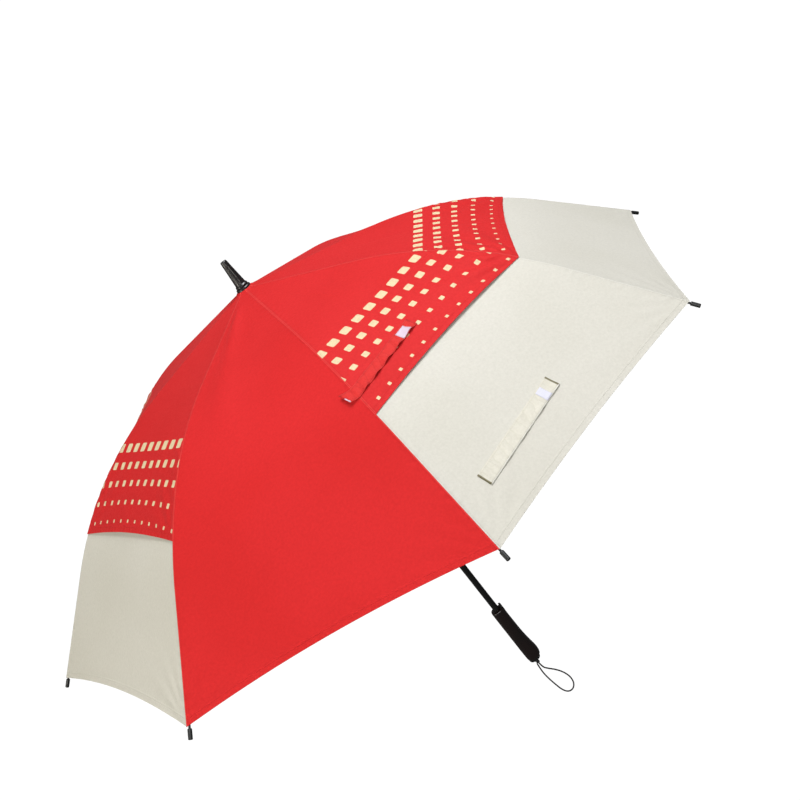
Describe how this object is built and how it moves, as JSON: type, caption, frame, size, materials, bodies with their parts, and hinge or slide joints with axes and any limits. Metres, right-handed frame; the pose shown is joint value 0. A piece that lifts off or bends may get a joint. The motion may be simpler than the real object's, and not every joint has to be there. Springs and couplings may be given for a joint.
{
  "type": "golf umbrella",
  "caption": "Open golf umbrella with a vented two-layer canopy, folding ribs and stretchers on a sliding runner, a straight grip, a release button and a wrist loop.",
  "frame": {"origin": "middle of the hand grip, on the shaft's axis", "axes": "+Z along the shaft towards the canopy and ferrule; -X towards rib 1, the others anticlockwise seen from above"},
  "size_m": [1.328, 1.328, 1.0913],
  "materials": {
    "red_fabric": "satin woven polyester, cream squares on the covers",
    "beige_fabric": "satin woven polyester",
    "black_metal": "semi-gloss black",
    "black_gloss_plastic": "glossy",
    "black_plastic": "satin",
    "wire_steel": "bright drawn wire",
    "grip_rubber": "soft satin",
    "black_cord": "braided"
  },
  "bodies": {
    "shaft_and_handle": {"shaft": "black_metal", "ferrule": "black_gloss_plastic", "top_notch": "black_plastic", "notch_wire": "wire_steel", "handle_grip": "grip_rubber", "handle_cap": "grip_rubber", "wrist_loop": "black_cord", "loop_knot": "black_cord"},
    "runner_body": {"runner": "black_plastic", "runner_wire": "wire_steel"},
    "button_body": {"release_button": "black_plastic"},
    "rib_body_1": {"rib_1": "black_metal", "rib_tip_1": "black_gloss_plastic", "canopy_upper_1": "red_fabric", "canopy_lower_1": "beige_fabric"},
    "stretcher_body_1": {"stretcher_1": "black_metal"},
    "rib_body_2": {"rib_2": "black_metal", "rib_tip_2": "black_gloss_plastic", "canopy_upper_2": "red_fabric", "canopy_lower_2": "beige_fabric"},
    "stretcher_body_2": {"stretcher_2": "black_metal"},
    "rib_body_3": {"rib_3": "black_metal", "rib_tip_3": "black_gloss_plastic", "canopy_upper_3": "red_fabric", "canopy_lower_3": "beige_fabric", "strap_red": "red_fabric", "strap_beige": "beige_fabric"},
    "stretcher_body_3": {"stretcher_3": "black_metal"},
    "rib_body_4": {"rib_4": "black_metal", "rib_tip_4": "black_gloss_plastic", "canopy_upper_4": "red_fabric", "canopy_lower_4": "beige_fabric"},
    "stretcher_body_4": {"stretcher_4": "black_metal"},
    "rib_body_5": {"rib_5": "black_metal", "rib_tip_5": "black_gloss_plastic", "canopy_upper_5": "red_fabric", "canopy_lower_5": "beige_fabric"},
    "stretcher_body_5": {"stretcher_5": "black_metal"},
    "rib_body_6": {"rib_6": "black_metal", "rib_tip_6": "black_gloss_plastic", "canopy_upper_6": "red_fabric", "canopy_lower_6": "beige_fabric"},
    "stretcher_body_6": {"stretcher_6": "black_metal"},
    "rib_body_7": {"rib_7": "black_metal", "rib_tip_7": "black_gloss_plastic", "canopy_upper_7": "red_fabric", "canopy_lower_7": "beige_fabric"},
    "stretcher_body_7": {"stretcher_7": "black_metal"},
    "rib_body_8": {"rib_8": "black_metal", "rib_tip_8": "black_gloss_plastic", "canopy_upper_8": "red_fabric", "canopy_lower_8": "beige_fabric"},
    "stretcher_body_8": {"stretcher_8": "black_metal"}
  },
  "joints": [
    {"name": "rib_fold_1", "type": "hinge", "parent": "shaft_and_handle", "child": "rib_body_1", "pos_m": [-0.012, 0, 0.84617], "axis": [0, -1, 0], "range_deg": [0, 61], "stiffness_Nm_per_rad": 5, "springref_deg": -68.75, "deforming": ["canopy_upper_1", "canopy_lower_1"]},
    {"name": "stretcher_fold_1", "type": "hinge", "parent": "rib_body_1", "child": "stretcher_body_1", "pos_m": [-0.33442, 0, 0.75564], "axis": [0, -1, 0], "range_deg": [-122, 0]},
    {"name": "rib_fold_2", "type": "hinge", "parent": "shaft_and_handle", "child": "rib_body_2", "pos_m": [-0.00849, -0.00849, 0.84617], "axis": [0.7071, -0.7071, 0], "range_deg": [0, 61], "deforming": ["canopy_upper_2", "canopy_lower_2"]},
    {"name": "stretcher_fold_2", "type": "hinge", "parent": "rib_body_2", "child": "stretcher_body_2", "pos_m": [-0.23647, -0.23647, 0.75564], "axis": [0.7071, -0.7071, 0], "range_deg": [-122, 0]},
    {"name": "rib_fold_3", "type": "hinge", "parent": "shaft_and_handle", "child": "rib_body_3", "pos_m": [0, -0.012, 0.84617], "axis": [1, 0, 0], "range_deg": [0, 61], "deforming": ["canopy_upper_3", "canopy_lower_3", "strap_red", "strap_beige"]},
    {"name": "stretcher_fold_3", "type": "hinge", "parent": "rib_body_3", "child": "stretcher_body_3", "pos_m": [0, -0.33442, 0.75564], "axis": [1, 0, 0], "range_deg": [-122, 0]},
    {"name": "rib_fold_4", "type": "hinge", "parent": "shaft_and_handle", "child": "rib_body_4", "pos_m": [0.00849, -0.00849, 0.84617], "axis": [0.7071, 0.7071, 0], "range_deg": [0, 61], "deforming": ["canopy_upper_4", "canopy_lower_4"]},
    {"name": "stretcher_fold_4", "type": "hinge", "parent": "rib_body_4", "child": "stretcher_body_4", "pos_m": [0.23647, -0.23647, 0.75564], "axis": [0.7071, 0.7071, 0], "range_deg": [-122, 0]},
    {"name": "rib_fold_5", "type": "hinge", "parent": "shaft_and_handle", "child": "rib_body_5", "pos_m": [0.012, 0, 0.84617], "axis": [0, 1, 0], "range_deg": [0, 61], "deforming": ["canopy_upper_5", "canopy_lower_5"]},
    {"name": "stretcher_fold_5", "type": "hinge", "parent": "rib_body_5", "child": "stretcher_body_5", "pos_m": [0.33442, 0, 0.75564], "axis": [0, 1, 0], "range_deg": [-122, 0]},
    {"name": "rib_fold_6", "type": "hinge", "parent": "shaft_and_handle", "child": "rib_body_6", "pos_m": [0.00849, 0.00849, 0.84617], "axis": [-0.7071, 0.7071, 0], "range_deg": [0, 61], "deforming": ["canopy_upper_6", "canopy_lower_6"]},
    {"name": "stretcher_fold_6", "type": "hinge", "parent": "rib_body_6", "child": "stretcher_body_6", "pos_m": [0.23647, 0.23647, 0.75564], "axis": [-0.7071, 0.7071, 0], "range_deg": [-122, 0]},
    {"name": "rib_fold_7", "type": "hinge", "parent": "shaft_and_handle", "child": "rib_body_7", "pos_m": [0, 0.012, 0.84617], "axis": [-1, 0, 0], "range_deg": [0, 61], "deforming": ["canopy_upper_7", "canopy_lower_7"]},
    {"name": "stretcher_fold_7", "type": "hinge", "parent": "rib_body_7", "child": "stretcher_body_7", "pos_m": [0, 0.33442, 0.75564], "axis": [-1, 0, 0], "range_deg": [-122, 0]},
    {"name": "rib_fold_8", "type": "hinge", "parent": "shaft_and_handle", "child": "rib_body_8", "pos_m": [-0.00849, 0.00849, 0.84617], "axis": [-0.7071, -0.7071, 0], "range_deg": [0, 61], "deforming": ["canopy_upper_8", "canopy_lower_8"]},
    {"name": "stretcher_fold_8", "type": "hinge", "parent": "rib_body_8", "child": "stretcher_body_8", "pos_m": [-0.23647, 0.23647, 0.75564], "axis": [-0.7071, -0.7071, 0], "range_deg": [-122, 0]},
    {"name": "runner_pivot", "type": "hinge", "parent": "stretcher_body_1", "child": "runner_body", "pos_m": [-0.012, 0, 0.66511], "axis": [0, -1, 0], "range_deg": [0, 61]},
    {"name": "button_press", "type": "slide", "parent": "shaft_and_handle", "child": "button_body", "axis": [-0.9925, 0.1219, 0], "range_m": [0, 0.002], "stiffness_N_per_m": 600, "springref_m": -0.002}
  ],
  "couplings": [
    {"joint": "stretcher_fold_1", "follows": "rib_fold_1", "ratio": -2},
    {"joint": "rib_fold_2", "follows": "rib_fold_1", "ratio": 1},
    {"joint": "stretcher_fold_2", "follows": "rib_fold_1", "ratio": -2},
    {"joint": "rib_fold_3", "follows": "rib_fold_1", "ratio": 1},
    {"joint": "stretcher_fold_3", "follows": "rib_fold_1", "ratio": -2},
    {"joint": "rib_fold_4", "follows": "rib_fold_1", "ratio": 1},
    {"joint": "stretcher_fold_4", "follows": "rib_fold_1", "ratio": -2},
    {"joint": "rib_fold_5", "follows": "rib_fold_1", "ratio": 1},
    {"joint": "stretcher_fold_5", "follows": "rib_fold_1", "ratio": -2},
    {"joint": "rib_fold_6", "follows": "rib_fold_1", "ratio": 1},
    {"joint": "stretcher_fold_6", "follows": "rib_fold_1", "ratio": -2},
    {"joint": "rib_fold_7", "follows": "rib_fold_1", "ratio": 1},
    {"joint": "stretcher_fold_7", "follows": "rib_fold_1", "ratio": -2},
    {"joint": "rib_fold_8", "follows": "rib_fold_1", "ratio": 1},
    {"joint": "stretcher_fold_8", "follows": "rib_fold_1", "ratio": -2},
    {"joint": "runner_pivot", "follows": "rib_fold_1", "ratio": 1}
  ]
}
